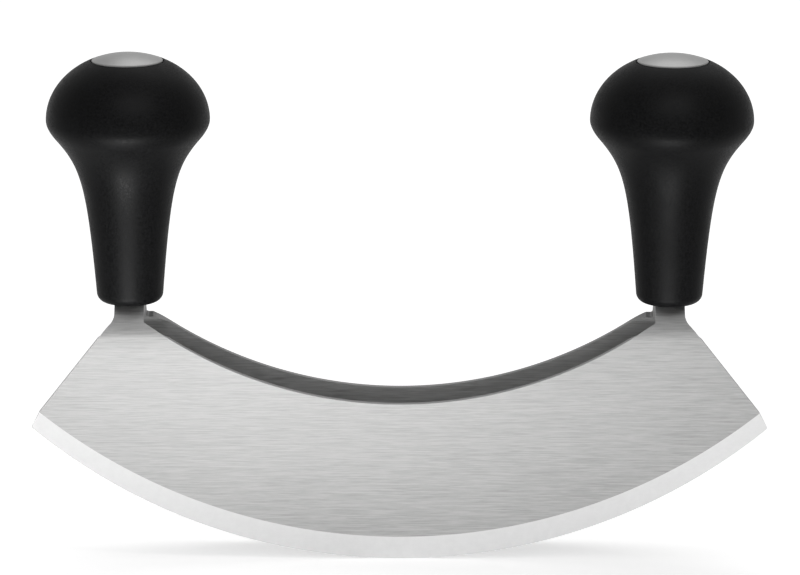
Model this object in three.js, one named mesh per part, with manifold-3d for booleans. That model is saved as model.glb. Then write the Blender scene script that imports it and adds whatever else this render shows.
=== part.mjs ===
// Double-bladed mincing knife: two crescent blades side by side, hung from two upright knob grips.
// Millimetres. +X runs along the blades, -Y is the front, +Z is up. The origin lies on the board,
// midway between the two cutting edges and under their lowest points.

import * as THREE from 'three';
import { mergeVertices } from 'three/addons/utils/BufferGeometryUtils.js';
import Module from 'manifold-3d';

// Blades, both cut from the same sheet
const bladeLength = 230; // tip to tip
const bladeThickness = 2.2;
const bladePitch = 21; // between the middle planes of the two blades
const edgeRadius = 176.7; // rocking curve of the cutting edge
const spineRadius = 133.1; // hollow curve of the upper side
const spineHeight = 50.3; // lowest point of the spine above the board
const bevelHeight = 7.4; // ground band above the cutting edge, the same on both faces
const edgeLand = 0.3; // thickness left at the cutting edge
const tipLean = 2.7; // how far the tip stands out beyond the straight end of the blade
const tipRounding = 0.7;
const rearEndInset = 3.4; // the rear blade is this much shorter at each end
const rearShoulderDrop = 4.1; // its outer shoulders are this much lower
const rearLedge = 2; // and its spine curve stops this far from each tang, at a flat ledge

// Tangs, two to a blade, drawn together by a double bend under each grip
const gripInset = 30.8; // from a blade's tip to the axis of the nearer grip
const tangWidth = 9.2;
const tangReach = 28; // length of tang inside the grip
const tangSpread = 6.5; // between the middle planes of the two tangs inside the grip
const rootFillet = 0.8; // inside corner between tang and spine curve
const shoulderFillet = 6; // inside corner between tang and blade end
const shoulderRise = 0.9; // outer corner above the inner one, on the flat blank
const tangCorner = 1.2;
const neckHeight = 4; // bare tang between its root and the grip
const bendLean = 42; // degrees, steepest lean of the double bend
const bendInset = 1.8; // the double bend ends this far inside the grip

// Grips
const footRadius = 10.4;
const footFillet = 3;
const stemTaper = 4.6; // degrees, at the foot
const flareAngle = 40; // degrees, steepest lean under the knob
const flareRadius = 22.2; // where the lean is steepest
const flareDrop = 6.1; // below the widest line of the knob
const knobRadius = 25.4;
const knobHeight = 57.7; // widest line of the knob above the foot
const knobCrown = 20.8; // height of the crown above the widest line

// Caps pressed into the crowns
const capRadius = 11;
const capFlange = 1.4;
const capRounding = 0.35;
const skirtDepth = 2.6;
const skirtWall = 1;
const counterboreRadius = 9;

// Fixings hidden in each grip
const tongueInset = 3; // start of the stud's flat tongue above the foot
const tongueWidth = 8;
const collarHeight = 3; // tongue above the ends of the tangs
const studRadius = 3;
const studEnd = 1.6; // stud beyond the nut
const studHeadroom = 1.2; // air between stud and cap
const nutFlats = 10;
const nutSides = 6;
const nutHeight = 5;
const washerRadius = 7.8;
const washerThickness = 1.5;
const rivetRadius = 1.6;
const rivetHeightShares = [0.32, 0.76]; // of the tang's reach, measured up from the foot

const fitGap = 0.3; // between pieces that touch on the real object
const cutOverrun = 4; // every cutting shape runs this far past what it cuts
const creaseTolerance = 0.0001; // a corner this near a bend line or a flat face lies on it

// How much of the tang's way inwards each bend makes; the straight run between them makes the rest
const lowerBendShare = 0.195;
const upperBendShare = 0.106;

// Handles of the two curves that form the side of a grip, as shares of each curve's rise
const stemHandleShare = 0.695;
const flareHandleShare = 0.236;
const underHandleShare = 0.183;
const beltHandleShare = 0.416;

// Steps of the curved outlines
const edgeSteps = 34; // from the lowest point to one tip
const spineSteps = 22;
const bendSteps = 6; // in each of the two bends
const filletSteps = 4;
const stemSteps = 11;
const underSteps = 4;
const crownSteps = 9;
const capSteps = 5;
const turnSteps = 48; // round a grip or a cap
const boltSteps = 24; // round a stud, rivet or washer

// Places that follow from the sizes above
const handleX = bladeLength / 2 - gripInset;
const tangInnerX = handleX - tangWidth / 2;
const tangOuterX = handleX + tangWidth / 2;
const rootZ = spineZ(tangInnerX);
const footZ = rootZ + neckHeight;
const tangTopZ = footZ + tangReach;
const bladeOffset = bladePitch / 2;
const tangOffset = tangSpread / 2;
const beltZ = footZ + knobHeight;
const capUnderZ = crownZ(capRadius) - capFlange;
const recessRadius = capRadius + fitGap;
const recessFloorZ = capUnderZ - fitGap;
const studTopZ = capUnderZ - studHeadroom;
const nutTopZ = studTopZ - studEnd;
const nutBottomZ = nutTopZ - nutHeight;
const washerTopZ = nutBottomZ - fitGap;
const washerBottomZ = washerTopZ - washerThickness;
const counterboreFloorZ = washerBottomZ - fitGap;
const studBoreRadius = studRadius + fitGap;
const tongueTopZ = tangTopZ + collarHeight;
const socketTopZ = tongueTopZ + fitGap;
const tangOuterY = tangOffset + bladeThickness / 2;
const tangInnerY = tangOffset - bladeThickness / 2;

// The double bend of a blade's outer face: an arc inwards, a short straight run, an arc upright
// again. Lengths are measured up the flat blank, which loses some of its height in the bends.
const bendShift = bladeOffset - tangOffset;
const lean = THREE.MathUtils.degToRad(bendLean);
const turnIn = 1 - Math.cos(lean);
const lowerRadius = lowerBendShare * bendShift / turnIn;
const upperRadius = upperBendShare * bendShift / turnIn;
const straightRun = (1 - lowerBendShare - upperBendShare) * bendShift / Math.sin(lean);
const bendRise = (lowerRadius + upperRadius) * Math.sin(lean) + straightRun * Math.cos(lean);
const bendLength = (lowerRadius + upperRadius) * lean + straightRun;
const bendLoss = bendLength - bendRise;
const bendEndZ = footZ + bendInset;
const bendStartZ = bendEndZ - bendRise;
const bladeOuterY = bladeOffset + bladeThickness / 2;
const tangFootY = slopeY(bendInset);

const wasm = await Module();
wasm.setup();

const steel = new THREE.MeshStandardMaterial({ color: 0xc8c8c6, roughness: 0.38, metalness: 1 });
const satinSteel = new THREE.MeshStandardMaterial({ color: 0xb4b4b2, roughness: 0.45, metalness: 1 });
const blackPlastic = new THREE.MeshStandardMaterial({ color: 0x151616, roughness: 0.62, metalness: 0 });
const fixingSteel = new THREE.MeshStandardMaterial({ color: 0x9a9c9e, roughness: 0.5, metalness: 1 });

// Height of the spine curve, of the cutting edge and of a grip's crown

function spineZ(x) {
  return spineHeight + spineRadius - Math.sqrt(spineRadius ** 2 - x ** 2);
}

function edgeZ(x) {
  return edgeRadius - Math.sqrt(edgeRadius ** 2 - x ** 2);
}

function crownZ(radius) {
  return beltZ + knobCrown * Math.sqrt(1 - (radius / knobRadius) ** 2);
}

// How far out a bent tang's outer face lies, at a depth below the end of the double bend
function slopeY(drop) {
  const arcDrop = Math.min(drop, upperRadius * Math.sin(lean));
  const arcY = upperRadius - Math.sqrt(upperRadius ** 2 - arcDrop ** 2);
  return tangOuterY + arcY + (drop - arcDrop) * Math.tan(lean);
}

// From geometry to solid and back

function toSolid(geometry) {
  const bare = geometry.clone();
  bare.deleteAttribute('normal');
  bare.deleteAttribute('uv');
  const merged = mergeVertices(bare);
  const vertProperties = Float32Array.from(merged.attributes.position.array);
  const triVerts = Uint32Array.from(merged.index.array);
  return new wasm.Manifold(new wasm.Mesh({ numProp: 3, vertProperties, triVerts }));
}

function toGeometry(solid) {
  const mesh = solid.getMesh();
  const geometry = new THREE.BufferGeometry();
  geometry.setAttribute('position', new THREE.BufferAttribute(mesh.vertProperties, 3));
  geometry.setIndex(new THREE.BufferAttribute(mesh.triVerts, 1));
  geometry.computeVertexNormals();
  return geometry;
}

// An outline in X and Z, extruded along Y from y = from to y = to
function plateAlongY(points, from, to) {
  const shape = new THREE.Shape(points);
  const geometry = new THREE.ExtrudeGeometry(shape, { depth: to - from, bevelEnabled: false });
  const toWorld = new THREE.Matrix4().makeBasis(
    new THREE.Vector3(1, 0, 0), new THREE.Vector3(0, 0, 1), new THREE.Vector3(0, -1, 0));
  geometry.applyMatrix4(toWorld);
  geometry.translate(0, to, 0);
  return geometry;
}

// A round bar along Y
function pinAlongY(radius, halfLength, x, z) {
  const geometry = new THREE.CylinderGeometry(radius, radius, 2 * halfLength, boltSteps);
  geometry.translate(x, 0, z);
  return geometry;
}

// A box between two corners
function boxBetween(low, high) {
  const size = high.clone().sub(low);
  const geometry = new THREE.BoxGeometry(size.x, size.y, size.z);
  const middle = low.clone().add(high).multiplyScalar(1 / 2);
  geometry.translate(middle.x, middle.y, middle.z);
  return geometry;
}

// Points on the arc that rounds the corner between two straight runs
function roundedCorner(before, corner, after, radius) {
  const back = before.clone().sub(corner).normalize();
  const ahead = after.clone().sub(corner).normalize();
  const halfAngle = Math.acos(THREE.MathUtils.clamp(back.dot(ahead), -1, 1)) / 2;
  const run = radius / Math.tan(halfAngle);
  const start = corner.clone().addScaledVector(back, run);
  const toCentre = back.clone().add(ahead).normalize();
  const centre = corner.clone().addScaledVector(toCentre, radius / Math.sin(halfAngle));
  const sweep = Math.PI - 2 * halfAngle;
  const turn = back.cross(ahead) > 0 ? -1 : 1;
  const points = [];
  for (let i = 0; i <= filletSteps; i += 1) {
    points.push(start.clone().rotateAround(centre, turn * sweep * i / filletSteps));
  }
  return points;
}

// The outline of one blade, on the flat blank

function edgeAngle(tipX) {
  return Math.asin(tipX / edgeRadius);
}

function edgePoint(tipX, step) {
  const angle = edgeAngle(tipX) * step / edgeSteps;
  return new THREE.Vector2(edgeRadius * Math.sin(angle), edgeRadius * (1 - Math.cos(angle)));
}

function spinePoint(endX, step) {
  const angle = Math.asin(endX / spineRadius) * step / spineSteps;
  const rise = spineRadius * (1 - Math.cos(angle));
  return new THREE.Vector2(spineRadius * Math.sin(angle), spineHeight + rise);
}

// Right half, from the lowest point of the edge round to the lowest point of the spine
function halfOutline({ endInset, shoulderDrop, ledge }) {
  const tipX = bladeLength / 2 - endInset;
  const heelX = tipX - tipLean;
  const tip = new THREE.Vector2(tipX, edgeZ(tipX));
  const heel = new THREE.Vector2(heelX, edgeZ(heelX) + bevelHeight);
  const outerRoot = new THREE.Vector2(tangOuterX, rootZ + shoulderRise - shoulderDrop);
  const outerTop = new THREE.Vector2(tangOuterX, tangTopZ + bendLoss);
  const innerTop = new THREE.Vector2(tangInnerX, tangTopZ + bendLoss);
  const spineEndX = tangInnerX - ledge;
  const innerRoot = new THREE.Vector2(tangInnerX, spineZ(spineEndX));
  const spine = [];
  for (let step = ledge > 0 ? spineSteps : spineSteps - 1; step >= 0; step -= 1) {
    spine.push(spinePoint(spineEndX, step));
  }
  const points = [];
  for (let step = 0; step < edgeSteps; step += 1) {
    points.push(edgePoint(tipX, step));
  }
  points.push(...roundedCorner(edgePoint(tipX, edgeSteps - 1), tip, heel, tipRounding));
  points.push(heel);
  points.push(...roundedCorner(heel, outerRoot, outerTop, shoulderFillet));
  points.push(...roundedCorner(outerRoot, outerTop, innerTop, tangCorner));
  points.push(...roundedCorner(outerTop, innerTop, innerRoot, tangCorner));
  points.push(...roundedCorner(innerTop, innerRoot, spine[0], rootFillet));
  points.push(...spine);
  return points;
}

function bladeOutline(end) {
  const right = halfOutline(end);
  const left = right.slice(1, -1).map((point) => new THREE.Vector2(-point.x, point.y));
  return [...right, ...left.reverse()];
}

// Where a point of the flat blank lies once the tangs are bent: its distance from the middle plane
// of the knife and its height. On the blank a point has a height and a depth below the outer face.
function bentPlace(up, depth) {
  const past = up - bendStartZ;
  if (past <= 0) {
    return { y: bladeOuterY - depth, z: up };
  }
  if (past >= bendLength) {
    return { y: tangOuterY - depth, z: up - bendLoss };
  }
  let angle = lean;
  let y = bladeOuterY - lowerRadius * turnIn;
  let z = bendStartZ + lowerRadius * Math.sin(lean);
  const run = past - lowerRadius * lean;
  if (run < 0) {
    angle = past / lowerRadius;
    y = bladeOuterY - lowerRadius * (1 - Math.cos(angle));
    z = bendStartZ + lowerRadius * Math.sin(angle);
  } else if (run < straightRun) {
    y -= run * Math.sin(lean);
    z += run * Math.cos(lean);
  } else {
    angle = (bendLength - past) / upperRadius;
    y = tangOuterY + upperRadius * (1 - Math.cos(angle));
    z = bendEndZ - upperRadius * Math.sin(angle);
  }
  return { y: y - depth * Math.cos(angle), z: z - depth * Math.sin(angle) };
}

// Heights on the blank at which its bends turn by one step
function bendHeights() {
  const heights = [];
  const upperStart = bendStartZ + lowerRadius * lean + straightRun;
  for (let step = 0; step <= bendSteps; step += 1) {
    heights.push(bendStartZ + lowerRadius * lean * step / bendSteps);
    heights.push(upperStart + upperRadius * lean * step / bendSteps);
  }
  return heights;
}

// Cuts every triangle that crosses a height, so that the surface can fold there
function creasedAt(triangles, height) {
  const creased = [];
  for (const corners of triangles) {
    const signs = corners.map((corner) => {
      const above = corner.z - height;
      return Math.abs(above) < creaseTolerance ? 0 : Math.sign(above);
    });
    if (!signs.includes(1) || !signs.includes(-1)) {
      creased.push(corners);
      continue;
    }
    for (const sign of [-1, 1]) {
      const kept = [];
      for (let i = 0; i < 3; i += 1) {
        const next = (i + 1) % 3;
        if (signs[i] !== -sign) {
          kept.push(corners[i]);
        }
        if (signs[i] * signs[next] < 0) {
          kept.push(crossing(corners[i], corners[next], height));
        }
      }
      for (let i = 2; i < kept.length; i += 1) {
        creased.push([kept[0], kept[i - 1], kept[i]]);
      }
    }
  }
  return creased;
}

// Both triangles on an edge get the same point, since the edge is always followed upwards
function crossing(first, second, height) {
  const [low, high] = first.z < second.z ? [first, second] : [second, first];
  const point = low.clone().lerp(high, (height - low.z) / (high.z - low.z));
  point.z = height;
  return point;
}

// Bends the tangs of a flat blank and sets it upright on its side of the knife
function bent(flat, side) {
  const places = toGeometry(flat).toNonIndexed().attributes.position;
  let triangles = [];
  for (let i = 0; i < places.count; i += 3) {
    triangles.push([i, i + 1, i + 2].map((at) => new THREE.Vector3().fromBufferAttribute(places, at)));
  }
  for (const height of bendHeights()) {
    triangles = creasedAt(triangles, height);
  }
  const points = triangles.flat().map((corner) => {
    const { y, z } = bentPlace(corner.z, corner.y);
    return new THREE.Vector3(corner.x, side * y, z);
  });
  const geometry = new THREE.BufferGeometry().setFromPoints(points);
  if (side > 0) {
    turnFacesRound(geometry);
  }
  return geometry;
}

// What the grinding of one face takes away: everything under the edge curve, and under that curve
// lifted by the bevel's height at the face. The lift grows evenly from the edge land outwards.
function bevelCutter(face, endInset) {
  const tipX = bladeLength / 2 - endInset;
  const points = [];
  const lastStep = edgeSteps + 2;
  for (let step = -lastStep; step <= lastStep; step += 1) {
    points.push(edgePoint(tipX, step));
  }
  const floorZ = -bevelHeight - cutOverrun;
  points.push(new THREE.Vector2(edgePoint(tipX, lastStep).x, floorZ));
  points.push(new THREE.Vector2(-edgePoint(tipX, lastStep).x, floorZ));
  const depth = bladeThickness / 2 - edgeLand / 2;
  const slope = bevelHeight / depth;
  const reach = bladeThickness / 2 + depth;
  const shape = new THREE.Shape(points);
  const geometry = new THREE.ExtrudeGeometry(shape, { depth: reach, bevelEnabled: false });
  const toWorld = new THREE.Matrix4().makeBasis(
    new THREE.Vector3(1, 0, 0), new THREE.Vector3(0, 0, 1), new THREE.Vector3(0, face, slope));
  geometry.applyMatrix4(toWorld);
  geometry.translate(0, bladeThickness / 2 + face * edgeLand / 2, 0);
  if (face > 0) {
    turnFacesRound(geometry);
  }
  return geometry;
}

function turnFacesRound(geometry) {
  const places = geometry.attributes.position;
  const first = new THREE.Vector3();
  const last = new THREE.Vector3();
  for (let i = 0; i < places.count; i += 3) {
    first.fromBufferAttribute(places, i);
    last.fromBufferAttribute(places, i + 2);
    places.setXYZ(i, last.x, last.y, last.z);
    places.setXYZ(i + 2, first.x, first.y, first.z);
  }
}

// One blade, cut, ground and drilled as a flat blank and then bent at its two tangs.
// On the blank, y is the depth below the outer face; side is -1 for the front blade, 1 for the rear.
function makeBlade(side, end) {
  let blank = toSolid(plateAlongY(bladeOutline(end), 0, bladeThickness));
  for (const face of [-1, 1]) {
    blank = blank.subtract(toSolid(bevelCutter(face, end.endInset)));
  }
  for (const x of [-handleX, handleX]) {
    for (const z of rivetHeights()) {
      const drill = pinAlongY(rivetRadius + fitGap, bladeThickness + cutOverrun, x, z + bendLoss);
      blank = blank.subtract(toSolid(drill));
    }
  }
  return toGeometry(toSolid(bent(blank, side)).simplify(creaseTolerance));
}

function rivetHeights() {
  return rivetHeightShares.map((share) => footZ + share * tangReach);
}

// The side of a grip, from the foot's fillet up to the recess in the crown

function gripSide() {
  const footTopZ = footZ + footFillet;
  const flareZ = beltZ - flareDrop;
  const stemLean = THREE.MathUtils.degToRad(stemTaper);
  const flareLean = THREE.MathUtils.degToRad(flareAngle);
  const stemAhead = new THREE.Vector2(Math.sin(stemLean), Math.cos(stemLean));
  const flareAhead = new THREE.Vector2(Math.sin(flareLean), Math.cos(flareLean));
  const foot = new THREE.Vector2(footRadius, footTopZ);
  const flare = new THREE.Vector2(flareRadius, flareZ);
  const belt = new THREE.Vector2(knobRadius, beltZ);
  const stemRise = flareZ - footTopZ;
  const stem = new THREE.CubicBezierCurve(
    foot,
    foot.clone().addScaledVector(stemAhead, stemHandleShare * stemRise),
    flare.clone().addScaledVector(flareAhead, -flareHandleShare * stemRise),
    flare);
  const under = new THREE.CubicBezierCurve(
    flare,
    flare.clone().addScaledVector(flareAhead, underHandleShare * flareDrop),
    new THREE.Vector2(knobRadius, beltZ - beltHandleShare * flareDrop),
    belt);
  const crownEnd = Math.acos(recessRadius / knobRadius);
  const crown = new THREE.EllipseCurve(0, beltZ, knobRadius, knobCrown, 0, crownEnd);
  return [
    ...stem.getPoints(stemSteps),
    ...under.getPoints(underSteps).slice(1),
    ...crown.getPoints(crownSteps).slice(1),
  ];
}

function gripProfile() {
  const centre = new THREE.Vector2(footRadius - footFillet, footZ + footFillet);
  const fillet = new THREE.EllipseCurve(
    centre.x, centre.y, footFillet, footFillet, -Math.PI / 2, 0);
  const boreEndZ = socketTopZ - collarHeight / 2;
  return [
    new THREE.Vector2(0, footZ),
    ...fillet.getPoints(filletSteps),
    ...gripSide().slice(1),
    new THREE.Vector2(recessRadius, recessFloorZ),
    new THREE.Vector2(counterboreRadius, recessFloorZ),
    new THREE.Vector2(counterboreRadius, counterboreFloorZ),
    new THREE.Vector2(studBoreRadius, counterboreFloorZ),
    new THREE.Vector2(studBoreRadius, boreEndZ),
    new THREE.Vector2(0, boreEndZ),
  ];
}

// A turned piece stands on the Z axis
function turned(profile, steps) {
  const geometry = new THREE.LatheGeometry(profile, steps);
  geometry.rotateX(Math.PI / 2);
  return geometry;
}

// The moulded grip, with a square socket for the tangs, a bore for the stud and a counterbore
function makeGrip() {
  const body = toSolid(turned(gripProfile(), turnSteps));
  const halfX = tangWidth / 2 + fitGap;
  const halfY = tangFootY + fitGap;
  const socket = boxBetween(
    new THREE.Vector3(-halfX, -halfY, footZ - cutOverrun),
    new THREE.Vector3(halfX, halfY, socketTopZ));
  return toGeometry(body.subtract(toSolid(socket)));
}

// The domed cap, flush with the crown, with a skirt that stands in the counterbore
function makeCap() {
  const skirtRadius = counterboreRadius - fitGap;
  const rimZ = crownZ(capRadius);
  const domeStart = Math.acos((capRadius - capRounding) / knobRadius);
  const dome = new THREE.EllipseCurve(0, beltZ, knobRadius, knobCrown, Math.PI / 2, domeStart, true);
  const profile = [
    ...dome.getPoints(capSteps),
    new THREE.Vector2(capRadius, rimZ - capRounding),
    new THREE.Vector2(capRadius, capUnderZ),
    new THREE.Vector2(skirtRadius, capUnderZ),
    new THREE.Vector2(skirtRadius, capUnderZ - skirtDepth),
    new THREE.Vector2(skirtRadius - skirtWall, capUnderZ - skirtDepth),
    new THREE.Vector2(skirtRadius - skirtWall, capUnderZ),
    new THREE.Vector2(0, capUnderZ),
  ];
  profile[0].x = 0; // exactly on the axis
  return turned(profile.reverse(), turnSteps);
}

// The tie stud: a flat tongue riveted between the two tangs, and a round bolt above it
function makeStud() {
  const halfX = tongueWidth / 2;
  const halfY = tangInnerY - fitGap;
  const tongue = boxBetween(
    new THREE.Vector3(-halfX, -halfY, footZ + tongueInset),
    new THREE.Vector3(halfX, halfY, tongueTopZ));
  const boltBottomZ = tangTopZ + fitGap;
  const bolt = turned([
    new THREE.Vector2(0, boltBottomZ),
    new THREE.Vector2(studRadius, boltBottomZ),
    new THREE.Vector2(studRadius, studTopZ - studEnd / 2),
    new THREE.Vector2(studRadius - studEnd / 2, studTopZ),
    new THREE.Vector2(0, studTopZ),
  ], boltSteps);
  let stud = toSolid(tongue).add(toSolid(bolt));
  for (const z of rivetHeights()) {
    stud = stud.subtract(toSolid(pinAlongY(rivetRadius + fitGap, tangOuterY, 0, z)));
  }
  return toGeometry(stud);
}

// A rivet, flush with the outer faces of the two tangs
function makeRivet(z) {
  return pinAlongY(rivetRadius, tangOuterY, 0, z);
}

function makeWasher() {
  const profile = [
    new THREE.Vector2(studBoreRadius, washerBottomZ),
    new THREE.Vector2(washerRadius, washerBottomZ),
    new THREE.Vector2(washerRadius, washerTopZ),
    new THREE.Vector2(studBoreRadius, washerTopZ),
    new THREE.Vector2(studBoreRadius, washerBottomZ),
  ];
  return turned(profile, boltSteps);
}

function makeNut() {
  const cornerRadius = nutFlats / 2 / Math.cos(Math.PI / nutSides);
  const middleZ = (nutBottomZ + nutTopZ) / 2;
  const block = new THREE.CylinderGeometry(cornerRadius, cornerRadius, nutHeight, nutSides);
  const bore = new THREE.CylinderGeometry(
    studBoreRadius, studBoreRadius, nutHeight + cutOverrun, boltSteps);
  for (const geometry of [block, bore]) {
    geometry.rotateX(Math.PI / 2);
    geometry.translate(0, 0, middleZ);
  }
  return toGeometry(toSolid(block).subtract(toSolid(bore)));
}

// Assembly

function named(name, geometry, material) {
  const mesh = new THREE.Mesh(geometry, material);
  mesh.name = name;
  return mesh;
}

function makeHandle(side, x) {
  const handle = new THREE.Group();
  const [lowerZ, upperZ] = rivetHeights();
  handle.add(named(`${side}_grip`, makeGrip(), blackPlastic));
  handle.add(named(`${side}_cap`, makeCap(), satinSteel));
  handle.add(named(`${side}_tie_stud`, makeStud(), fixingSteel));
  handle.add(named(`${side}_lower_rivet`, makeRivet(lowerZ), fixingSteel));
  handle.add(named(`${side}_upper_rivet`, makeRivet(upperZ), fixingSteel));
  handle.add(named(`${side}_washer`, makeWasher(), fixingSteel));
  handle.add(named(`${side}_nut`, makeNut(), fixingSteel));
  handle.position.x = x;
  return handle;
}

const knife = new THREE.Group();
const frontEnd = { endInset: 0, shoulderDrop: 0, ledge: 0 };
const rearEnd = { endInset: rearEndInset, shoulderDrop: rearShoulderDrop, ledge: rearLedge };
knife.add(named('front_blade', makeBlade(-1, frontEnd), steel));
knife.add(named('rear_blade', makeBlade(1, rearEnd), steel));
knife.add(makeHandle('left', -handleX));
knife.add(makeHandle('right', handleX));

export default knife;
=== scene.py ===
import math

import bmesh
import bpy
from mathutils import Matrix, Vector


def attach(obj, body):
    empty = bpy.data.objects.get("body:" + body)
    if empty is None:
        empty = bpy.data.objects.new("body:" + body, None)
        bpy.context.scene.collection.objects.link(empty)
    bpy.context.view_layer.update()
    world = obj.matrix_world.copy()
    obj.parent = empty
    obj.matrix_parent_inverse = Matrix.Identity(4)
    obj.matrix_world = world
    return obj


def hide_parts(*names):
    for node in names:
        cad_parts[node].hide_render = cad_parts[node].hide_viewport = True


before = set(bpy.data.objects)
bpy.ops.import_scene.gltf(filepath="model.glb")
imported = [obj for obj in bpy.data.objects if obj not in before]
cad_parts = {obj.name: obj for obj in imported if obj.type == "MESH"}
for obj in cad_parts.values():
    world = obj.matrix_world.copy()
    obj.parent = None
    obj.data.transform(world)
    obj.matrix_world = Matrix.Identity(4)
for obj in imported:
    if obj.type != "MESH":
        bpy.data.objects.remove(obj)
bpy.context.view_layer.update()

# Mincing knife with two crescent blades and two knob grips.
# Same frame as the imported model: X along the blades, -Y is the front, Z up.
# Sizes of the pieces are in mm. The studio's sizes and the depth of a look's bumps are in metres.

mm = 0.001
print("frame loaded:", len(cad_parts), "nodes")


# Small helpers for meshes

def addPiece(name, mesh, node):
    piece = bpy.data.objects.new(name, mesh)
    bpy.context.scene.collection.objects.link(piece)
    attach(piece, "root")
    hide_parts(node)
    return piece


def unit(x, z):
    length = math.hypot(x, z)
    return x / length, z / length


def roundedCorner(before, corner, after, radius, steps):
    # points on the arc between two straight runs that meet at corner
    bx, bz = unit(before[0] - corner[0], before[1] - corner[1])
    ax, az = unit(after[0] - corner[0], after[1] - corner[1])
    halfAngle = math.acos(max(-1, min(1, bx * ax + bz * az))) / 2
    run = radius / math.tan(halfAngle)
    mx, mz = unit(bx + ax, bz + az)
    reach = radius / math.sin(halfAngle)
    centre = (corner[0] + mx * reach, corner[1] + mz * reach)
    sx, sz = corner[0] + bx * run - centre[0], corner[1] + bz * run - centre[1]
    sweep = math.pi - 2 * halfAngle
    turn = -1 if bx * az - bz * ax > 0 else 1
    points = []
    for i in range(steps + 1):
        a = turn * sweep * i / steps
        points.append((centre[0] + sx * math.cos(a) - sz * math.sin(a),
                       centre[1] + sx * math.sin(a) + sz * math.cos(a)))
    return points


# Small helpers for materials

# steps of ever finer noise in each layer of a finish
layerDetail = {"streaks": 3, "hairs": 2, "clouds": 2, "grain": 2, "pits": 1, "patches": 2}
noiseRoughness, noiseMiddle = 0.6, 0.5
noiseLow, noiseHigh = 0.3, 0.7   # most of a noise lies between these


def startMaterial(name):
    material = bpy.data.materials.new(name)
    material.use_nodes = True
    tree = material.node_tree
    tree.nodes.clear()
    shader = tree.nodes.new("ShaderNodeBsdfPrincipled")
    output = tree.nodes.new("ShaderNodeOutputMaterial")
    tree.links.new(shader.outputs["BSDF"], output.inputs["Surface"])
    return material, tree, shader


def grainAt(tree, look, layer):
    # noise fixed to the object, finer along the axes with the larger number
    coords = tree.nodes.new("ShaderNodeTexCoord")
    place = tree.nodes.new("ShaderNodeMapping")
    place.inputs["Scale"].default_value = look[layer]
    noise = tree.nodes.new("ShaderNodeTexNoise")
    noise.inputs["Scale"].default_value = 1
    noise.inputs["Detail"].default_value = layerDetail[layer]
    noise.inputs["Roughness"].default_value = noiseRoughness
    tree.links.new(coords.outputs["Object"], place.inputs["Vector"])
    tree.links.new(place.outputs["Vector"], noise.inputs["Vector"])
    return noise.outputs["Fac"]


def spread(tree, value, low, high, fromLow=noiseLow, fromHigh=noiseHigh):
    # a value between fromLow and fromHigh turned into one between low and high
    node = tree.nodes.new("ShaderNodeMapRange")
    node.inputs["From Min"].default_value = fromLow
    node.inputs["From Max"].default_value = fromHigh
    node.inputs["To Min"].default_value = low
    node.inputs["To Max"].default_value = high
    tree.links.new(value, node.inputs["Value"])
    return node.outputs["Result"]


def blendColours(tree, value, dark, light):
    node = tree.nodes.new("ShaderNodeMix")
    node.data_type = "RGBA"
    tree.links.new(value, node.inputs["Factor"])
    node.inputs["A"].default_value = (*dark, 1)
    node.inputs["B"].default_value = (*light, 1)
    return node.outputs["Result"]


def sumOf(tree, first, second, share):
    # first + second * share
    node = tree.nodes.new("ShaderNodeMath")
    node.operation = "MULTIPLY_ADD"
    tree.links.new(second, node.inputs[0])
    node.inputs[1].default_value = share
    tree.links.new(first, node.inputs[2])
    return node.outputs["Value"]


def addBump(tree, shader, height, depth, strength):
    bump = tree.nodes.new("ShaderNodeBump")
    bump.inputs["Strength"].default_value = strength
    bump.inputs["Distance"].default_value = depth
    tree.links.new(height, bump.inputs["Height"])
    tree.links.new(bump.outputs["Normal"], shader.inputs["Normal"])


def heightShare(tree, low, high):
    # 0 below the height low, 1 above high, in mm
    coords = tree.nodes.new("ShaderNodeTexCoord")
    axes = tree.nodes.new("ShaderNodeSeparateXYZ")
    tree.links.new(coords.outputs["Object"], axes.inputs["Vector"])
    return spread(tree, axes.outputs["Z"], 0, 1, low * mm, high * mm)


# Steel finishes

brushTurn = 0.25   # of a full turn, for the direction in which reflections stretch


def brushedSteel(name, look):
    material, tree, shader = startMaterial(name)
    streaks, hairs, clouds = (grainAt(tree, look, layer) for layer in ("streaks", "hairs", "clouds"))
    lines = sumOf(tree, streaks, hairs, look["hairShare"])
    middle = noiseMiddle * (1 + look["hairShare"])
    low, high = middle - look["contrast"], middle + look["contrast"]
    tone = spread(tree, lines, 0, 1, low, high)
    tone = sumOf(tree, tone, clouds, look["cloudShare"])
    tree.links.new(blendColours(tree, tone, look["dark"], look["light"]), shader.inputs["Base Color"])
    roughness = spread(tree, lines, look["smooth"], look["rough"], low, high)
    if "tangRough" in look:
        roughness = sumOf(tree, roughness, heightShare(tree, *look["tangZone"]), look["tangRough"])
    tree.links.new(roughness, shader.inputs["Roughness"])
    addBump(tree, shader, lines, look["depth"], look["bump"])
    shader.inputs["Metallic"].default_value = 1
    shader.inputs["Anisotropic"].default_value = look["brushing"]
    shader.inputs["Anisotropic Rotation"].default_value = brushTurn
    return material


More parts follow.
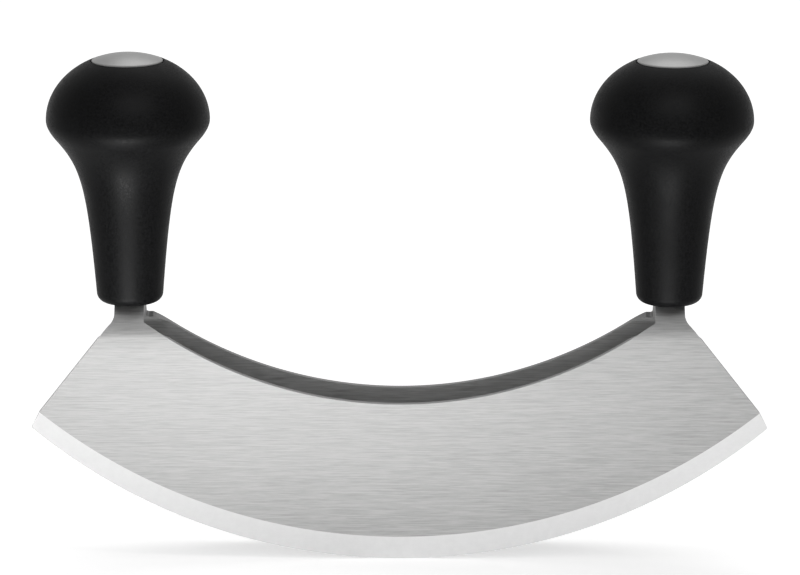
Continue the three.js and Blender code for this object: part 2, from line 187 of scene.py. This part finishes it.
bladeLook = {
    "dark": (0.31, 0.31, 0.308), "light": (0.49, 0.49, 0.487),
    "smooth": 0.34, "rough": 0.46, "brushing": 0.6,
    "streaks": (160, 2800, 2800),   # 6 mm long, 0.4 mm high
    "hairs": (70, 5400, 5400), "hairShare": 0.9,
    "clouds": (14, 60, 60), "cloudShare": 0.25,
    "contrast": 0.26, "depth": 0.00002, "bump": 0.25,
    "tangZone": (66, 82), "tangRough": 0.17,   # the steel turns rougher between these heights
}
# the ground band along the cutting edge: its grain is real, its pale colour partly a painted reflection
# of the bright floor it faces
bevelPaintedReflectionLook = {
    "dark": (0.76, 0.76, 0.76), "light": (0.82, 0.82, 0.82),
    "smooth": 0.58, "rough": 0.66, "brushing": 0,
    "streaks": (500, 500, 500), "hairs": (60, 3000, 3000), "hairShare": 0.3,
    "clouds": (20, 60, 60), "cloudShare": 0.2,
    "contrast": 0.3, "depth": 0.000005, "bump": 0.1,
}
# the cut rims: the blade steel painted much darker, a painted shade for the dark surround their faces
# mirror
rimPaintedShadeLook = {
    "dark": (0.15, 0.15, 0.15), "light": (0.22, 0.22, 0.218),
    "smooth": 0.38, "rough": 0.55, "brushing": 0.3,
    "streaks": (400, 900, 900), "hairs": (60, 5000, 5000), "hairShare": 0.5,
    "clouds": (20, 60, 60), "cloudShare": 0.2,
    "contrast": 0.3, "depth": 0.00002, "bump": 0.3,
}
# finishes of the blades: brushed faces, the bevel steel with painted reflection, the rim steel with
# painted shade
bladeFinishes = [brushedSteel("brushed_blade_steel", bladeLook),
                 brushedSteel("ground_bevel_painted_reflection_steel", bevelPaintedReflectionLook),
                 brushedSteel("rim_steel_painted_shade", rimPaintedShadeLook)]


# Blades

blade = {
    "length": 229.98, "thickness": 2.2, "pitch": 21,
    "edgeRadius": 176.7, "spineRadius": 133.1, "spineHeight": 50.3,
    "bevelHeight": 7.4, "edgeLand": 0.3, "tipLean": 2.7, "tipRounding": 0.7,
    "handleX": 84.2, "tangWidth": 9.2, "tangReach": 28, "tangSpread": 6.5,
    "rootFillet": 0.8, "shoulderFillet": 6, "shoulderRise": 0.9, "tangCorner": 1.2, "neckHeight": 4,
    "bendLean": 42, "lowerBend": 0.195, "upperBend": 0.106, "bendInset": 1.8,
    "rimRounding": 0.1, "rimSteps": 2,
    "rivetRadius": 1.6, "rivetGap": 0.3,
    "rivetShares": (0.32, 0.76),   # of the tang's reach, from the foot of the grip up
}
frontEnd = {"inset": 0, "drop": 0, "ledge": 0}
rearEnd = {"inset": 3.4, "drop": 4.1, "ledge": 2}
edgeSteps, spineSteps, bendSteps, filletSteps, holeQuarter = 80, 60, 14, 5, 8
bendMargin = 1.5   # from the bends to the nearest cut across the flat blank
cutReach = 0.00001   # a point this near a cut lies on it
matchDigits = 4   # points of the outline that agree to this many decimals are one point
edgeReach = 0.02   # a point this near the cutting edge's curve lies on it
softTurn = 0.6   # radians, the steepest turn between two faces that is shaded smooth
brushedFace, groundBandAndPaintedReflection, paintedShadeRim = range(len(bladeFinishes))


def spineZ(x):
    return blade["spineHeight"] + blade["spineRadius"] - math.sqrt(blade["spineRadius"] ** 2 - x ** 2)


def edgeZ(x):
    return blade["edgeRadius"] - math.sqrt(blade["edgeRadius"] ** 2 - x ** 2)


tangIn = blade["handleX"] - blade["tangWidth"] / 2
tangOut = blade["handleX"] + blade["tangWidth"] / 2
rootZ = spineZ(tangIn)
footZ = rootZ + blade["neckHeight"]
tangTopZ = footZ + blade["tangReach"]

# The double bend of the outer face: an arc inwards, a short straight run, an arc upright again.
# The lengths are measured up the flat blank, which loses some of its height in the bends.
outerY = (blade["pitch"] + blade["thickness"]) / 2
bendShift = (blade["pitch"] - blade["tangSpread"]) / 2
lean = math.radians(blade["bendLean"])
turnIn = 1 - math.cos(lean)
lowerRadius, upperRadius = (blade[bend] * bendShift / turnIn for bend in ("lowerBend", "upperBend"))
straightRun = (1 - blade["lowerBend"] - blade["upperBend"]) * bendShift / math.sin(lean)
bendRise = (lowerRadius + upperRadius) * math.sin(lean) + straightRun * math.cos(lean)
bendLength = (lowerRadius + upperRadius) * lean + straightRun
bendEnd = footZ + blade["bendInset"]
bendStart = bendEnd - bendRise
tangTopBlank = tangTopZ + bendLength - bendRise


def bentPlace(up, depth):
    # distance from the middle plane and height of a point of the blank, depth below its outer face
    past = up - bendStart
    if past <= 0:
        return outerY - depth, up
    if past < lowerRadius * lean:
        angle = past / lowerRadius
        y = outerY - lowerRadius * (1 - math.cos(angle))
        z = bendStart + lowerRadius * math.sin(angle)
    elif past < lowerRadius * lean + straightRun:
        angle = lean
        run = past - lowerRadius * lean
        y = outerY - lowerRadius * turnIn - run * math.sin(lean)
        z = bendStart + lowerRadius * math.sin(lean) + run * math.cos(lean)
    elif past < bendLength:
        angle = (bendLength - past) / upperRadius
        y = outerY - bendShift + upperRadius * (1 - math.cos(angle))
        z = bendEnd - upperRadius * math.sin(angle)
    else:
        return outerY - bendShift - depth, up - bendLength + bendRise
    return y - depth * math.cos(angle), z - depth * math.sin(angle)


def grindDepth(x, z):
    # half the thickness at a point of the bevel
    half, land = blade["thickness"] / 2, blade["edgeLand"] / 2
    rise = (z - edgeZ(x)) / blade["bevelHeight"]
    return min(half, land + (half - land) * max(0, rise))


def bladeHalf(end):
    # right half of the outline: edge points, tip, then heel round to the middle of the spine
    tipX = blade["length"] / 2 - end["inset"]
    heelX = tipX - blade["tipLean"]
    tip, heel = (tipX, edgeZ(tipX)), (heelX, edgeZ(heelX) + blade["bevelHeight"])
    edge = [heelX * i / edgeSteps for i in range(edgeSteps + 1)]
    edge = [(x, edgeZ(x)) for x in edge]
    nearX = heelX + (tipX - heelX) / 2
    near = (nearX, edgeZ(nearX))
    tipRun = [near] + roundedCorner(near, tip, heel, blade["tipRounding"], filletSteps)
    root = (tangOut, rootZ + blade["shoulderRise"] - end["drop"])
    outerTop, innerTop = (tangOut, tangTopBlank), (tangIn, tangTopBlank)
    spineEnd = tangIn - end["ledge"]
    spine = [(x, spineZ(x)) for x in (spineEnd * (1 - i / spineSteps) for i in range(spineSteps + 1))]
    innerRoot = (tangIn, spineZ(spineEnd))
    if not end["ledge"]:
        spine = spine[1:]
    rest = [heel]
    rest += roundedCorner(heel, root, outerTop, blade["shoulderFillet"], 2 * filletSteps)
    rest += roundedCorner(root, outerTop, innerTop, blade["tangCorner"], filletSteps)
    rest += roundedCorner(outerTop, innerTop, innerRoot, blade["tangCorner"], filletSteps)
    rest += roundedCorner(innerTop, innerRoot, spine[0], blade["rootFillet"], filletSteps)
    return edge, tipRun, rest + spine


def flatBlade(end):
    # the blade's outline filled in the X-Z plane: one brushed face and a row of bevel faces
    edge, tipRun, rest = bladeHalf(end)
    bm = bmesh.new()
    made = {}

    def at(x, z):
        key = (round(x, matchDigits), round(z, matchDigits))
        if key not in made:
            made[key] = bm.verts.new((x, 0, z))
        return made[key]

    def face(points, finish):
        bm.faces.new([at(x, z) for x, z in points]).material_index = finish

    up = blade["bevelHeight"]
    leftRest = [(-x, z) for x, z in rest[:-1]][::-1]
    line = [(x, z + up) for x, z in edge]
    bottom = [(-x, z) for x, z in line[:0:-1]] + line[:-1]
    face(bottom + rest + leftRest[:-1], brushedFace)
    for sign in (1, -1):
        for (x0, z0), (x1, z1) in zip(edge, edge[1:]):
            quad = [(sign * x0, z0), (sign * x1, z1), (sign * x1, z1 + up), (sign * x0, z0 + up)]
            face(quad if sign > 0 else quad[::-1], groundBandAndPaintedReflection)
        corner = [(sign * x, z) for x, z in [edge[-1]] + tipRun + [rest[0]]]
        face(corner if sign > 0 else corner[::-1], groundBandAndPaintedReflection)
    return bm


def cutAcross(bm, heights):
    for z in heights:
        geometry = bm.verts[:] + bm.edges[:] + bm.faces[:]
        bmesh.ops.bisect_plane(bm, geom=geometry, plane_co=(0, 0, z), plane_no=(0, 0, 1), dist=cutReach)


def bendHeights():
    # heights on the blank where its bends turn by one step
    heights = [bendStart - bendMargin]
    for i in range(bendSteps + 1):
        heights.append(bendStart + lowerRadius * lean * i / bendSteps)
    for i in range(bendSteps + 1):
        heights.append(bendStart + bendLength - upperRadius * lean * (1 - i / bendSteps))
    return heights + [bendStart + bendLength + bendMargin]


def drillTangs(bm):
    # a rivet hole in the middle of a square plate of each tang; gives the points round the holes
    reach = blade["rivetRadius"] + blade["rivetGap"]
    holePoints = set()
    for share in blade["rivetShares"]:
        level = footZ + share * blade["tangReach"] + bendLength - bendRise
        cutAcross(bm, (level - blade["tangWidth"] / 2, level + blade["tangWidth"] / 2))
        for x in (-blade["handleX"], blade["handleX"]):
            middle = Vector((x, 0, level))
            plate = min(bm.faces, key=lambda f: (f.calc_center_median() - middle).length)
            corners = sorted(plate.verts, key=lambda v: math.atan2(v.co.z - level, v.co.x - x))
            bm.faces.remove(plate)
            count = len(corners) * holeQuarter
            turns = [math.tau * i / count - math.pi for i in range(count)]
            places = [(x + reach * math.cos(a), 0, level + reach * math.sin(a)) for a in turns]
            ring = [bm.verts.new(place) for place in places]
            for k, corner in enumerate(corners):
                quarter = [ring[(k * holeQuarter + i) % count] for i in range(holeQuarter + 1)]
                for a, b in zip(quarter, quarter[1:]):
                    bm.faces.new((corner, a, b))
                bm.faces.new((corner, quarter[-1], corners[(k + 1) % len(corners)]))
            holePoints.update(ring)
    return holePoints


def makeBlade(name, node, side, end):
    flat = flatBlade(end)
    cutAcross(flat, bendHeights())
    holePoints = drillTangs(flat)
    flat.verts.index_update()
    half = blade["thickness"] / 2
    spots, backSpots = [], []
    for v in flat.verts:
        x, up = v.co.x, v.co.z
        trim = half - grindDepth(x, up)
        places = [bentPlace(up, trim), bentPlace(up, blade["thickness"] - trim)]
        (y, z), (backY, backZ) = places if side < 0 else places[::-1]
        spots.append((x * mm, side * y * mm, z * mm))
        backSpots.append((x * mm, side * backY * mm, backZ * mm))
    bm = bmesh.new()
    weights = bm.edges.layers.float.new("bevel_weight_edge")
    front = [bm.verts.new(p) for p in spots]
    back = [bm.verts.new(p) for p in backSpots]
    for f in flat.faces:
        order = [v.index for v in f.verts]
        for ring in ([front[i] for i in order], [back[i] for i in reversed(order)]):
            bm.faces.new(ring).material_index = f.material_index
    for e in flat.edges:
        if not e.is_boundary:
            continue
        a, b = e.link_loops[0].vert, e.link_loops[0].link_loop_next.vert
        wall = bm.faces.new([front[b.index], front[a.index], back[a.index], back[b.index]])
        onEdge = all(abs(v.co.z - edgeZ(v.co.x)) < edgeReach for v in (a, b))
        inHole = a in holePoints and b in holePoints
        # walls on the cutting edge take the bevel steel with its painted reflection, the other walls
        # the rim steel with its painted shade
        wall.material_index = groundBandAndPaintedReflection if onEdge else paintedShadeRim
        if not onEdge and not inHole:
            for group in (front, back):
                bm.edges.get((group[a.index], group[b.index]))[weights] = 1
    flat.free()
    bmesh.ops.recalc_face_normals(bm, faces=bm.faces)
    for f in bm.faces:
        f.smooth = True
    for e in bm.edges:
        sameFinish = len({f.material_index for f in e.link_faces}) == 1
        e.smooth = sameFinish and e.calc_face_angle(0) < softTurn
    mesh = bpy.data.meshes.new(name)
    bm.to_mesh(mesh)
    bm.free()
    for finish in bladeFinishes:
        mesh.materials.append(finish)
    piece = addPiece(name, mesh, node)
    rounding = piece.modifiers.new("rounded rims", "BEVEL")
    rounding.limit_method = "WEIGHT"
    rounding.width = blade["rimRounding"] * mm
    rounding.segments = blade["rimSteps"]
    # the rounded rims take the rim steel too, with its painted shade along the outline
    rounding.material = paintedShadeRim
    rounding.harden_normals = True


makeBlade("front_crescent", "front_blade", -1, frontEnd)
makeBlade("rear_crescent", "rear_blade", 1, rearEnd)
print("blades made")


# Grips

plasticLook = {
    "dark": (0.0003, 0.0003, 0.0004), "light": (0.004, 0.0041, 0.0043),
    "smooth": 0.33, "rough": 0.41, "specular": 0.05,
    "grain": (1700,) * 3, "pits": (5200,) * 3, "pitShare": 0.6, "patches": (90,) * 3,
    "speckle": 0.22, "speckLow": 0.6, "speckHigh": 1,   # the paler, rougher specks
    "depth": 0.00006, "bump": 0.5,
}


def mouldedPlastic(name, look):
    material, tree, shader = startMaterial(name)
    grain, pits, patches = (grainAt(tree, look, layer) for layer in ("grain", "pits", "patches"))
    skin = sumOf(tree, grain, pits, look["pitShare"])
    specks = spread(tree, skin, 0, 1, look["speckLow"], look["speckHigh"])
    tree.links.new(blendColours(tree, specks, look["dark"], look["light"]), shader.inputs["Base Color"])
    roughness = spread(tree, patches, look["smooth"], look["rough"])
    tree.links.new(sumOf(tree, roughness, specks, look["speckle"]), shader.inputs["Roughness"])
    addBump(tree, shader, skin, look["depth"], look["bump"])
    shader.inputs["Specular IOR Level"].default_value = look["specular"]
    return material


grip = {
    "footRadius": 10.4, "footFillet": 3, "stemTaper": 4.6, "flareAngle": 40,
    "flareRadius": 22.2, "flareDrop": 6.1, "knobRadius": 25.4, "knobHeight": 57.7, "knobCrown": 20.8,
    "stemHandle": 0.695, "flareHandle": 0.236, "underHandle": 0.183, "beltHandle": 0.416,
    "recessRadius": 11.3, "rimRounding": 0.3, "rimStart": 70, "counterbore": 9, "bore": 3.3,
    "socketHalfX": 4.9, "socketHalfY": 5.25, "collar": 3, "gap": 0.3,
}
cap = {
    "radius": 11, "flange": 1.4, "rounding": 0.45, "rimStart": 70,
    "skirtRadius": 8.7, "skirtWall": 1, "skirtDepth": 2.6,
}
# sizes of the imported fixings, which set the depth of the counterbore in each grip
fixings = {"studHeadroom": 1.2, "studEnd": 1.6, "nutHeight": 5, "washerThickness": 1.5}
turnSteps, softBend = 128, 40   # softBend is the steepest turn, in degrees, that is shaded smooth
footSteps, stemSteps, flareSteps, crownSteps, capSteps, rimSteps = 8, 36, 12, 32, 16, 4
beltZ = footZ + grip["knobHeight"]


def crownZ(radius):
    return beltZ + grip["knobCrown"] * math.sqrt(1 - (radius / grip["knobRadius"]) ** 2)


capUnderZ = crownZ(cap["radius"]) - cap["flange"]
studTopZ = capUnderZ - fixings["studHeadroom"]
washerTopZ = studTopZ - fixings["studEnd"] - fixings["nutHeight"] - grip["gap"]
counterFloorZ = washerTopZ - fixings["washerThickness"] - grip["gap"]
socketTopZ = tangTopZ + grip["collar"] + grip["gap"]


def bezier(p0, p1, p2, p3, steps):
    points = []
    for i in range(steps + 1):
        t = i / steps
        a, b, c, d = (1 - t) ** 3, 3 * t * (1 - t) ** 2, 3 * t * t * (1 - t), t ** 3
        points.append(tuple(a * p0[k] + b * p1[k] + c * p2[k] + d * p3[k] for k in (0, 1)))
    return points


def arc(centre, radius, start, stop, steps):
    points = []
    for i in range(steps + 1):
        a = math.radians(start + (stop - start) * i / steps)
        points.append((centre[0] + radius * math.cos(a), centre[1] + radius * math.sin(a)))
    return points


def gripSide():
    # radius and height, from the foot up to the rim of the recess
    fillet = grip["footFillet"]
    foot = (grip["footRadius"], footZ + fillet)
    flare = (grip["flareRadius"], beltZ - grip["flareDrop"])
    belt = (grip["knobRadius"], beltZ)
    rise = flare[1] - foot[1]
    stemLean, flareLean = math.radians(grip["stemTaper"]), math.radians(grip["flareAngle"])
    p1 = (foot[0] + grip["stemHandle"] * rise * math.sin(stemLean),
          foot[1] + grip["stemHandle"] * rise * math.cos(stemLean))
    back = grip["flareHandle"] * rise
    p2 = (flare[0] - back * math.sin(flareLean), flare[1] - back * math.cos(flareLean))
    ahead = grip["underHandle"] * grip["flareDrop"]
    q1 = (flare[0] + ahead * math.sin(flareLean), flare[1] + ahead * math.cos(flareLean))
    q2 = (grip["knobRadius"], beltZ - grip["beltHandle"] * grip["flareDrop"])
    points = arc((grip["footRadius"] - fillet, footZ + fillet), fillet, -90, 0, footSteps)
    points += bezier(foot, p1, p2, flare, stemSteps)[1:]
    points += bezier(flare, q1, q2, belt, flareSteps)[1:]
    rimRadius = grip["recessRadius"] + grip["rimRounding"]
    last = math.acos(rimRadius / grip["knobRadius"])
    for i in range(1, crownSteps + 1):
        a = last * i / crownSteps
        points.append((grip["knobRadius"] * math.cos(a), beltZ + grip["knobCrown"] * math.sin(a)))
    rimMiddle = (rimRadius, points[-1][1] - grip["rimRounding"])
    points += arc(rimMiddle, grip["rimRounding"], grip["rimStart"], 180, rimSteps)
    return points


def ringOf(radius, z):
    turns = [math.tau * i / turnSteps for i in range(turnSteps)]
    return [(radius * math.cos(a), radius * math.sin(a), z) for a in turns]


def squareRing(halfX, halfY, z):
    # the same count of points as a round ring, on a rectangle, with its four corners hit exactly
    points = []
    for i in range(turnSteps):
        a = math.tau * i / turnSteps
        c, s = math.cos(a), math.sin(a)
        reach = 1 / max(abs(c) / halfX, abs(s) / halfY)
        points.append((reach * c, reach * s, z))
    for sx in (1, -1):
        for sy in (1, -1):
            near = round(math.atan2(sy * halfY, sx * halfX) / math.tau * turnSteps) % turnSteps
            points[near] = (sx * halfX, sy * halfY, z)
    return points


def skinRings(name, rings, closed, x):
    # quads between neighbouring rings; an open stack is closed by fans at its two poles
    bm = bmesh.new()
    loops = [[bm.verts.new(((px + x) * mm, py * mm, pz * mm)) for px, py, pz in ring] for ring in rings]
    pairs = list(zip(loops, loops[1:] + ([loops[0]] if closed else [])))
    for lower, upper in pairs:
        for i in range(turnSteps):
            j = (i + 1) % turnSteps
            bm.faces.new([lower[i], lower[j], upper[j], upper[i]])
    if not closed:
        for loop in (loops[0], loops[-1]):
            z = sum(v.co.z for v in loop) / turnSteps
            pole = bm.verts.new((x * mm, 0, z))
            for i in range(turnSteps):
                bm.faces.new([loop[i], loop[(i + 1) % turnSteps], pole])
    bmesh.ops.recalc_face_normals(bm, faces=bm.faces)
    mesh = bpy.data.meshes.new(name)
    bm.to_mesh(mesh)
    bm.free()
    for p in mesh.polygons:
        p.use_smooth = True
    mesh.set_sharp_from_angle(angle=math.radians(softBend))
    return mesh


def makeGrip(name, node, x, finish):
    rings = [squareRing(grip["socketHalfX"], grip["socketHalfY"], footZ)]
    rings += [ringOf(r, z) for r, z in gripSide()]
    rings += [ringOf(r, z) for r, z in (
        (grip["recessRadius"], capUnderZ - grip["gap"]),
        (grip["counterbore"], capUnderZ - grip["gap"]),
        (grip["counterbore"], counterFloorZ),
        (grip["bore"], counterFloorZ),
        (grip["bore"], socketTopZ))]
    rings.append(squareRing(grip["socketHalfX"], grip["socketHalfY"], socketTopZ))
    mesh = skinRings(name, rings, True, x)
    mesh.materials.append(finish)
    return addPiece(name, mesh, node)


plastic = mouldedPlastic("black_moulded_plastic", plasticLook)
grips = [makeGrip("left_knob_grip", "left_grip", -blade["handleX"], plastic),
         makeGrip("right_knob_grip", "right_grip", blade["handleX"], plastic)]
print("grips made")


# Caps in the crowns of the grips

capLook = {
    "dark": (0.22, 0.22, 0.218), "light": (0.28, 0.28, 0.277),
    "smooth": 0.34, "rough": 0.46, "brushing": 0,
    "streaks": (1600, 1600, 1600), "hairs": (5200, 5200, 5200), "hairShare": 0.6,
    "clouds": (120, 120, 120), "cloudShare": 0.2,
    "contrast": 0.28, "depth": 0.00001, "bump": 0.25,
}


def capRings():
    radius, rounding = cap["radius"], cap["rounding"]
    crownEdge = radius - rounding
    points = []
    for i in range(1, capSteps + 1):
        r = crownEdge * i / capSteps
        points.append((r, crownZ(r)))
    points += arc((crownEdge, crownZ(crownEdge) - rounding), rounding, cap["rimStart"], 0, rimSteps)
    inner = cap["skirtRadius"] - cap["skirtWall"]
    points += [(radius, capUnderZ), (cap["skirtRadius"], capUnderZ),
               (cap["skirtRadius"], capUnderZ - cap["skirtDepth"]),
               (inner, capUnderZ - cap["skirtDepth"]), (inner, capUnderZ), (inner / 2, capUnderZ)]
    return points


def makeCap(name, node, x, finish):
    mesh = skinRings(name, [ringOf(r, z) for r, z in capRings()], False, x)
    mesh.materials.append(finish)
    return addPiece(name, mesh, node)


satin = brushedSteel("satin_cap_steel", capLook)
makeCap("left_crown_cap", "left_cap", -blade["handleX"], satin)
makeCap("right_crown_cap", "right_cap", blade["handleX"], satin)
print("caps made")


# Fixings inside the grips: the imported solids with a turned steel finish

fixingLook = {
    "dark": (0.3, 0.31, 0.32), "light": (0.42, 0.43, 0.45),
    "smooth": 0.35, "rough": 0.55, "brushing": 0.3,
    "streaks": (500, 500, 2600), "hairs": (900, 900, 6000), "hairShare": 0.5,
    "clouds": (90, 90, 90), "cloudShare": 0.3,
    "contrast": 0.3, "depth": 0.00002, "bump": 0.3,
}
fixingSteel = brushedSteel("turned_fixing_steel", fixingLook)
for side in ("left", "right"):
    for part in ("tie_stud", "lower_rivet", "upper_rivet", "washer", "nut"):
        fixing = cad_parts[f"{side}_{part}"]
        fixing.data.materials.clear()
        fixing.data.materials.append(fixingSteel)
print("fixings dressed")


# Floor, world, lamps and camera

studio = {
    "floorSize": 14, "floorTone": 0.85, "floorLift": 0.5, "roomLight": 0.65,
    "seenRoom": 1,   # brightness of the room where it is seen; roomLight is what it lights with
    "cameraAt": (0.0001, -1.3602, 0.4116), "cameraDown": 13.5, "cameraRoll": 0.1,
    "lens": 201.55, "sensor": 36, "farClip": 50,
}


def seenRay(tree):
    # 1 for what the camera, a reflection or a refraction sees, 0 for what lights the object
    path = tree.nodes.new("ShaderNodeLightPath")
    first = tree.nodes.new("ShaderNodeMath")
    second = tree.nodes.new("ShaderNodeMath")
    for node in (first, second):
        node.operation = "MAXIMUM"
    tree.links.new(path.outputs["Is Camera Ray"], first.inputs[0])
    tree.links.new(path.outputs["Is Glossy Ray"], first.inputs[1])
    tree.links.new(first.outputs["Value"], second.inputs[0])
    tree.links.new(path.outputs["Is Transmission Ray"], second.inputs[1])
    return second.outputs["Value"]


def makeFloor():
    half = studio["floorSize"] / 2
    mesh = bpy.data.meshes.new("pale_floor")
    corners = [(-half, -half, 0), (half, -half, 0), (half, half, 0), (-half, half, 0)]
    mesh.from_pydata(corners, [], [range(len(corners))])
    floor = bpy.data.objects.new("pale_floor", mesh)
    bpy.context.scene.collection.objects.link(floor)
    material = bpy.data.materials.new("pale_floor_paint")
    material.use_nodes = True
    tree = material.node_tree
    tree.nodes.clear()
    paint = tree.nodes.new("ShaderNodeBsdfDiffuse")
    tone = studio["floorTone"]
    paint.inputs["Color"].default_value = (tone, tone, tone, 1)
    lift = tree.nodes.new("ShaderNodeEmission")
    scale = tree.nodes.new("ShaderNodeMath")
    scale.operation = "MULTIPLY"
    scale.inputs[1].default_value = studio["floorLift"]
    both = tree.nodes.new("ShaderNodeAddShader")
    output = tree.nodes.new("ShaderNodeOutputMaterial")
    tree.links.new(seenRay(tree), scale.inputs[0])
    tree.links.new(scale.outputs["Value"], lift.inputs["Strength"])
    tree.links.new(paint.outputs["BSDF"], both.inputs[0])
    tree.links.new(lift.outputs["Emission"], both.inputs[1])
    tree.links.new(both.outputs["Shader"], output.inputs["Surface"])
    mesh.materials.append(material)


def makeWorld():
    # a white room, dimmer as a source of light than where it is seen
    world = bpy.data.worlds.new("white_studio")
    bpy.context.scene.world = world
    world.use_nodes = True
    tree = world.node_tree
    tree.nodes.clear()
    strength = tree.nodes.new("ShaderNodeMix")
    strength.data_type = "FLOAT"
    strength.inputs["A"].default_value = studio["roomLight"]
    strength.inputs["B"].default_value = studio["seenRoom"]
    background = tree.nodes.new("ShaderNodeBackground")
    output = tree.nodes.new("ShaderNodeOutputWorld")
    tree.links.new(seenRay(tree), strength.inputs["Factor"])
    tree.links.new(strength.outputs["Result"], background.inputs["Strength"])
    tree.links.new(background.outputs["Background"], output.inputs["Surface"])


# a lamp with "only" lights those pieces and no others
lamps = {
    "top_softbox": {"at": (0.15, 0.7, 1.3), "aim": (0, 0, 0.05), "size": (1, 1), "power": 4.5},
    "knob_softbox": {
        "at": (0.1, -0.6, 0.85), "aim": (0, 0, 0.14), "size": (0.6, 0.5), "power": 6, "only": grips,
    },
    "left_card": {
        "at": (-0.095, -0.11, 0.01), "aim": (-0.084, 0, 0.12), "size": (0.08, 0.03), "power": 0.4,
        "only": grips[:1],
    },
    "right_card": {
        "at": (0.07, -0.11, 0.01), "aim": (0.084, 0, 0.12), "size": (0.08, 0.03), "power": 0.28,
        "only": grips[1:],
    },
}
tableSpot = {
    "at": (-0.06, -0.35, 1), "aim": (-0.06, -0.35, 0), "angle": 34, "narrow": 0.74,
    "blend": 0.9, "soft": 0.1, "power": 110,
}


def aimedLight(name, data, lamp):
    light = bpy.data.objects.new(name, data)
    bpy.context.scene.collection.objects.link(light)
    light.location = lamp["at"]
    way = Vector(lamp["aim"]) - Vector(lamp["at"])
    light.rotation_euler = way.to_track_quat("-Z", "Y").to_euler()
    return light


def makeLamp(name, lamp):
    data = bpy.data.lights.new(name, "AREA")
    data.shape = "RECTANGLE"
    data.size, data.size_y = lamp["size"]
    data.energy = lamp["power"]
    light = aimedLight(name, data, lamp)
    if "only" in lamp:
        lit = bpy.data.collections.new(name + "_reach")
        for piece in lamp["only"]:
            lit.objects.link(piece)
        light.light_linking.receiver_collection = lit


def makeTableSpot():
    # brightens the floor in front of the knife, which the blades mirror; its cone stops short of them
    data = bpy.data.lights.new("table_spot", "SPOT")
    data.energy = tableSpot["power"]
    data.spot_size = math.radians(tableSpot["angle"])
    data.spot_blend = tableSpot["blend"]
    data.shadow_soft_size = tableSpot["soft"]
    aimedLight("table_spot", data, tableSpot).scale.x = tableSpot["narrow"]


def makeCamera():
    data = bpy.data.cameras.new("photo_view")
    data.lens = studio["lens"]
    data.sensor_width = studio["sensor"]
    data.clip_end = studio["farClip"]
    camera = bpy.data.objects.new("photo_view", data)
    bpy.context.scene.collection.objects.link(camera)
    camera.location = studio["cameraAt"]
    camera.rotation_mode = "ZXY"
    tilt, roll = math.radians(90 - studio["cameraDown"]), math.radians(studio["cameraRoll"])
    camera.rotation_euler = (tilt, 0, roll)
    bpy.context.scene.camera = camera


makeFloor()
makeWorld()
for name, lamp in lamps.items():
    makeLamp(name, lamp)
makeTableSpot()
makeCamera()
bpy.context.scene.view_settings.view_transform = "Standard"
print("studio made")
